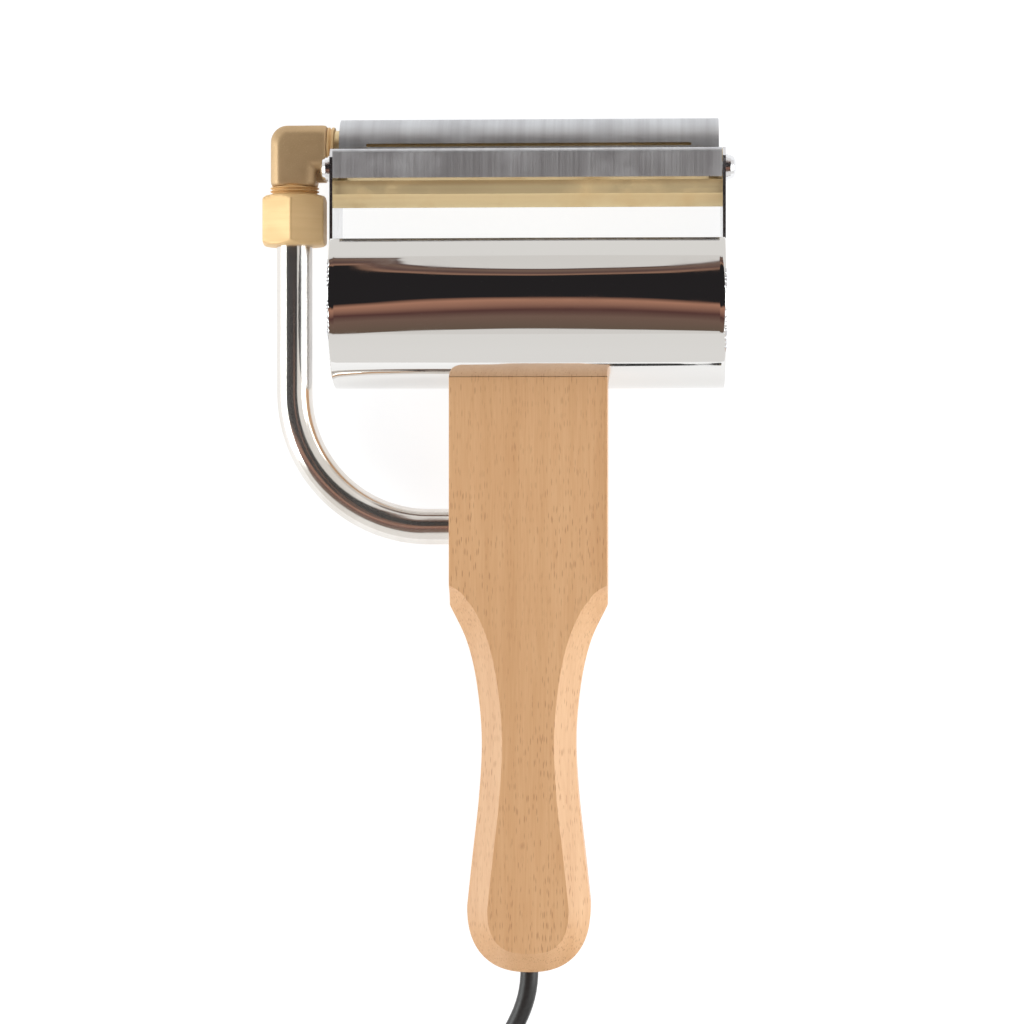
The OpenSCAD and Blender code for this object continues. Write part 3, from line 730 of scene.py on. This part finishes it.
class PLANE_OT_hood(bpy.types.Operator):
    """Polished hood: a sheet rolled to an arc, with slightly dished ends and solder at its ends"""

    bl_idname = "plane.hood"
    bl_label = "Hood"

    def execute(self, context):
        low = -math.asin(AXIS_Z / HOOD_R)
        high = math.radians(133)
        turn = np.linspace(low, high, 181)
        half, wall, dish = 0.065, 0.0008, 0.00006
        inner = np.linspace(-half, half, 61)[1:-1]
        a = np.linspace(-math.pi / 2, math.pi / 2, 7)
        right = np.stack([half - wall / 2 + wall / 2 * np.cos(a), wall / 2 * np.sin(a)], axis=-1)
        ring = np.concatenate([
            np.stack([inner, np.full_like(inner, -wall / 2)], axis=-1), right,
            np.stack([inner[::-1], np.full_like(inner, wall / 2)], axis=-1),
            right[::-1] * [-1, 1]])
        radius = HOOD_R - wall / 2 + ring[None, :, 1]
        dent = dish * np.sin(ring[None, :, 0] * 47 + 1.1) * np.cos(turn[:, None] * 2.1 + 0.4)
        radius = radius - dish + dent
        x = ring[None, :, 0] + 0 * radius
        y = HOOD_Y - radius * np.cos(turn)[:, None]
        z = AXIS_Z + radius * np.sin(turn)[:, None]
        points, faces = loft(np.stack([x, y, np.maximum(z, 0)], axis=-1))
        piece = mesh_piece("polished_hood", points, faces, slot_material("mirror_steel"))
        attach(piece, "head")
        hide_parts("hood_shell")
        self.solder()
        return {"FINISHED"}

    def solder(self):
        """Uneven beads along the ends, of radius 0.2 + 0.28 |sin 31t sin 12t| + 0.15 sin^2 57t in
        millimetres at the angle t round the hood."""
        points, faces = np.empty((0, 3)), []
        for side, start, stop in ((-1, 62, 88), (-1, 96, 116), (1, 52, 84), (1, 92, 108)):
            t = np.radians(np.linspace(start, stop, 70))
            thick = 0.2 + 0.28 * np.abs(np.sin(31 * t) * np.sin(12 * t)) + 0.15 * np.sin(57 * t) ** 2
            thick *= np.sin(np.linspace(0.1, math.pi - 0.1, len(t))) ** 0.4
            path = np.stack([side * 0.0649 + 0 * t, HOOD_Y - (HOOD_R - 0.0001) * np.cos(t),
                             AXIS_Z + (HOOD_R - 0.0001) * np.sin(t)], axis=-1)
            bead = round_profile(MM, 12)[None] * thick[:, None, None]
            points, faces = joined(points, faces, *loft(swept(path, bead)))
        piece = mesh_piece("solder_beads", points, faces, slot_material("plate_steel"))
        weld(piece, 0.000001)
        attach(piece, "head")


class PLANE_OT_conduit(bpy.types.Operator):
    """Bent conduit, forged elbow with its thread, collar and compression nut"""

    bl_idname = "plane.conduit"
    bl_label = "Conduit"

    def execute(self, context):
        self.tube()
        self.elbow()
        self.nut()
        self.collar()
        return {"FINISHED"}

    def tube(self):
        """A round tube: straight down, a quarter circle of 45 mm and straight into the handle."""
        bend = 0.045
        down = np.array([[TUBE_X, y, AXIS_Z] for y in np.linspace(0.104, bend, 40, endpoint=False)])
        a = np.linspace(math.pi, 1.5 * math.pi, 61)
        arc = np.stack([TUBE_X + bend + bend * np.cos(a), bend + bend * np.sin(a),
                        AXIS_Z + 0 * a], axis=-1)
        level = np.array([[x, 0, AXIS_Z] for x in np.linspace(TUBE_X + bend, -0.012, 12)[1:]])
        path = np.concatenate([down, arc, level])
        rings = swept(path, round_profile(0.006, 48))
        points, faces = loft(rings)
        piece = mesh_piece("bent_conduit", points, faces, slot_material("tube_steel"))
        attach(piece, "head")
        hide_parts("conduit_tube")

    def elbow(self):
        """Two legs joined by a corner, of a soft octagon's section
        r(t) = R (|cos t|^p + |sin t|^p + |(cos t + sin t) / k|^p + |(cos t - sin t) / k|^p)^(-1/p).
        The fibre at depth a turns with radius 0.4 + 5.2 (a + R) / 2R about its own centre. A web
        fills the inside of the corner, and a thread runs down into the nut."""
        size, power, count, cut = 7.6, 26, 160, 1.66
        t = np.linspace(0, 2 * math.pi, count, endpoint=False)
        c, d = np.cos(t), np.sin(t)
        total = (np.abs(c) ** power + np.abs(d) ** power + np.abs((c + d) / cut) ** power
                 + np.abs((c - d) / cut) ** power)
        a, b = size * c * total ** (-1 / power), size * d * total ** (-1 / power)
        corner_x, corner_y = TUBE_X / MM, HEAT_Y / MM
        turn = 0.4 + 5.2 * (a + size) / (2 * size)
        rings = []
        for x, scale in ((-67.6, 0.9), (-67.75, 0.96), (-68.1, 0.99), (-69, 1), (-70.5, 1)):
            rings.append(np.stack([x + 0 * a, corner_y + a * scale, b * scale], axis=-1))
        for theta in np.linspace(0, math.pi / 2, 13):
            rings.append(np.stack([corner_x - a + turn - turn * math.sin(theta),
                                   corner_y + a - turn + turn * math.cos(theta), b], axis=-1))
        for y, scale in ((117.4, 1), (115.4, 1), (114.5, 0.985), (114, 0.95), (113.8, 0.9)):
            rings.append(np.stack([corner_x - a * scale, y + 0 * a, b * scale], axis=-1))
        points, faces = loft((np.stack(rings) + [0, 0, 14]) * MM)

        # The web is a rounded square block with eased upper and lower edges
        web_t = np.linspace(0, 2 * math.pi, 48, endpoint=False)
        web_x, web_y = squared(np.cos(web_t), 0.25), squared(np.sin(web_t), 0.25)
        half_web = 2.2
        layers = ((11.8, 0.9), (12, 0.97), (12.3, 1), (15.7, 1), (16, 0.97), (16.2, 0.9))
        web = np.stack([np.stack([corner_x + 8.7 + web_x * half_web * k,
                                  117.6 + web_y * half_web * k, z + 0 * web_x], axis=-1)
                        for z, k in layers]) * MM
        # Rounded ridges of the thread, a pitch apart, under the leg and into the nut
        pitch = 1.1
        along = np.linspace(101, 114.2, 200)
        ridge = 7.75 + 0.45 * np.sin((along - along[0]) * 2 * math.pi / pitch)
        turns, turn_faces = loft(turned(np.stack([along, ridge], axis=-1), "Y",
                                        (TUBE_X, 0, AXIS_Z), 64))
        thread = mesh_piece("elbow_thread", turns, turn_faces, slot_material("machined_brass"))
        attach(thread, "head")
        points, faces = joined(points, faces, *loft(web))
        piece = mesh_piece("forged_elbow", points, faces, slot_material("forged_brass"))
        weld(piece, 0.000001)
        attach(piece, "head")
        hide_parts("brass_elbow")

    def nut(self):
        """A hexagon whose radius is the lesser of flat / cos(angle in its sixth) and a cone."""
        low, high = 94.1, 110.8
        flat, count = 10.25, 192
        a = np.linspace(0, 2 * math.pi, count, endpoint=False)
        sixth = (a + math.pi / 6) % (math.pi / 3) - math.pi / 6
        hexagon = np.minimum(flat / np.cos(sixth), flat / math.cos(math.pi / 6) - 0.12)
        along = np.array([low, low, low + 0.15, low + 0.4, low + 0.8, low + 1.3, low + 2, low + 4, 102,
                          high - 4, high - 2, high - 1.3, high - 0.8, high - 0.4, high - 0.15, high,
                          high])
        gap = np.minimum(along - low, high - along)
        cone = 9.9 + gap * 1.5
        radius = np.minimum(hexagon[None], cone[:, None])
        radius[0] = radius[-1] = 6.2
        rings = np.stack([radius * np.cos(a), along[:, None] + 0 * radius, radius * np.sin(a)],
                         axis=-1) * MM + [TUBE_X, 0, AXIS_Z]
        points, faces = loft(rings)
        piece = mesh_piece("hexagon_nut", points, faces, slot_material("machined_brass"))
        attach(piece, "head")
        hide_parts("compression_nut")

    def collar(self):
        """A turned collar with a groove round its middle."""
        profile = [(-67.6, 5), (-67.6, 7), (-67.4, 7.3), (-66.8, 7.3), (-66.6, 6.8), (-66.2, 6.8),
                   (-66, 7.3), (-65.3, 7.3), (-65.05, 7), (-65.05, 5)]
        points, faces = loft(turned(profile, "X", (0, HEAT_Y, AXIS_Z)))
        piece = mesh_piece("turned_collar", points, faces, slot_material("machined_brass"))
        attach(piece, "head")
        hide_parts("elbow_collar")


class PLANE_OT_stage(bpy.types.Operator):
    """Pale floor, soft lights, and the dark ceiling that the hood reflects"""

    bl_idname = "plane.stage"
    bl_label = "Stage"

    def execute(self, context):
        scene = context.scene
        floor, _, shader, _ = material("floor", Roughness=0.9)
        shader.inputs["Base Color"].default_value = (*scene.plane_camera.floor, 1)
        shader.inputs["Emission Color"].default_value = (0.98, 0.99, 1, 1)
        shader.inputs["Emission Strength"].default_value = 0.87
        self.card("floor_sheet", (-4, 4), (-4, 4), -0.0002, floor)
        # The ceiling card glows with painted bands that the hood shows as its reflection
        self.card("ceiling", (-2.0, 0.45), (-1.3, 2.4), 1.35, painted_reflection_ceiling())
        lights = [("left_light", (-1.3, -0.05, 0.45), 11, 0.9, True),
                  ("right_light", (1.3, -0.05, 0.5), 10.5, 0.9, True),
                  ("grip_light", (0.1, -1.4, 0.8), 4, 1.2, False),
                  ("head_light", (-0.3, 1.5, 0.9), 5, 1.0, False)]
        for name, place, power, size, shown in lights:
            data = bpy.data.lights.new(name, "AREA")
            data.energy = power
            data.size = size
            data.color = (0.95, 1, 1)
            lamp = bpy.data.objects.new(name, data)
            lamp.location = place
            lamp.rotation_euler = Vector(place).to_track_quat("Z", "Y").to_euler()
            lamp.visible_glossy = shown
            scene.collection.objects.link(lamp)
        world = bpy.data.worlds.new("studio")
        world.use_nodes = True
        world.node_tree.nodes["Background"].inputs["Color"].default_value = (1, 0.985, 0.965, 1)
        world.node_tree.nodes["Background"].inputs["Strength"].default_value = 0.88
        scene.world = world
        scene.view_settings.view_transform = "Standard"
        return {"FINISHED"}

    def card(self, name, across, along, height, paint):
        """A flat sheet on a small grid."""
        x, y = np.meshgrid(np.linspace(*across, 3), np.linspace(*along, 3), indexing="ij")
        points = np.stack([x, y, np.full_like(x, height)], axis=-1)
        faces = [(i * 3 + k, i * 3 + k + 1, i * 3 + k + 4, i * 3 + k + 3)
                 for i in range(2) for k in range(2)]
        return mesh_piece(name, points, faces, paint)


class PLANE_PT_panel(bpy.types.Panel):
    """Lists the steps that build the tool"""

    bl_idname = "PLANE_PT_panel"
    bl_label = "Uncapping Plane"
    bl_space_type = "VIEW_3D"
    bl_region_type = "UI"
    bl_category = "Plane"

    def draw(self, context):
        for group in GROUPS:
            settings = getattr(context.scene, group)
            for key in settings.__annotations__:
                self.layout.prop(settings, key)
        for operator in STEPS:
            self.layout.operator(operator.bl_idname)


GROUPS = {"plane_camera": CameraSettings, "plane_cord": CordSettings, "plane_wood": WoodSettings,
          "plane_metal": MetalSettings}
STEPS = [PLANE_OT_camera, PLANE_OT_materials, PLANE_OT_plug, PLANE_OT_cord, PLANE_OT_hood,
         PLANE_OT_handle, PLANE_OT_conduit, PLANE_OT_stage]


def register():
    """Registers the settings, the steps and the panel."""
    for name, group in GROUPS.items():
        bpy.utils.register_class(group)
        setattr(bpy.types.Scene, name, bpy.props.PointerProperty(type=group))
    for step in STEPS:
        bpy.utils.register_class(step)
    bpy.utils.register_class(PLANE_PT_panel)


def unregister():
    """Takes them away again."""
    bpy.utils.unregister_class(PLANE_PT_panel)
    for step in reversed(STEPS):
        bpy.utils.unregister_class(step)
    for name, group in GROUPS.items():
        delattr(bpy.types.Scene, name)
        bpy.utils.unregister_class(group)


def main():
    """Builds the tool step by step."""
    register()
    for step in STEPS:
        section, name = step.bl_idname.split(".")
        getattr(getattr(bpy.ops, section), name)()


if __name__ == "__main__":
    main()
